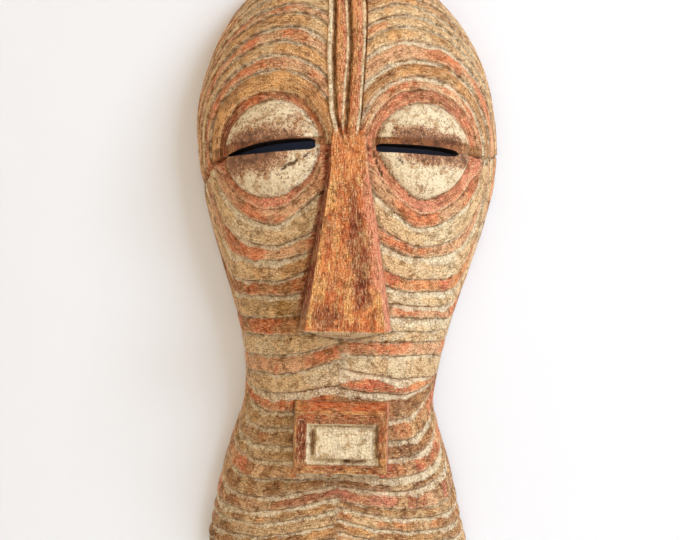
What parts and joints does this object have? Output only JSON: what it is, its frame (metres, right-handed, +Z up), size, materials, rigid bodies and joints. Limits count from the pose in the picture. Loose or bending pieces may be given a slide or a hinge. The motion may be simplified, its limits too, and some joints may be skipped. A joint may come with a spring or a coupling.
{
  "type": "carved wooden face mask",
  "caption": "Long oval carved wooden face mask with curved striations, slit eyes, wedge nose and block mouth, hollow behind, with a swinging D-ring for a wall hook.",
  "frame": {"origin": "the point of the wall plane, on the mask's centre line, where the wall's hook carries the ring", "axes": "+Z up the mask's length, -Y out of the wall towards the viewer, +X to the viewer's right; the back rim lies in Y = 0"},
  "size_m": [0.179, 0.074, 0.3529],
  "materials": {
    "carved_wood": "dry hand-carved wood rubbed with red ochre and white kaolin, matt",
    "plated_steel": "thin yellowed zinc plate",
    "ring_wire": "drawn wire, yellowed zinc plate",
    "screw_steel": "turned and rolled, slightly dull"
  },
  "bodies": {
    "mask": {"mask_shell": "carved_wood", "hanger_strap": "plated_steel", "hanger_screw": "screw_steel"},
    "ring": {"hanger_ring": "ring_wire"}
  },
  "joints": [
    {"name": "ring_swing", "type": "hinge", "parent": "mask", "child": "ring", "pos_m": [0, -0.00404, -0.0085], "axis": [-1, 0, 0], "range_deg": [0, 165]}
  ]
}
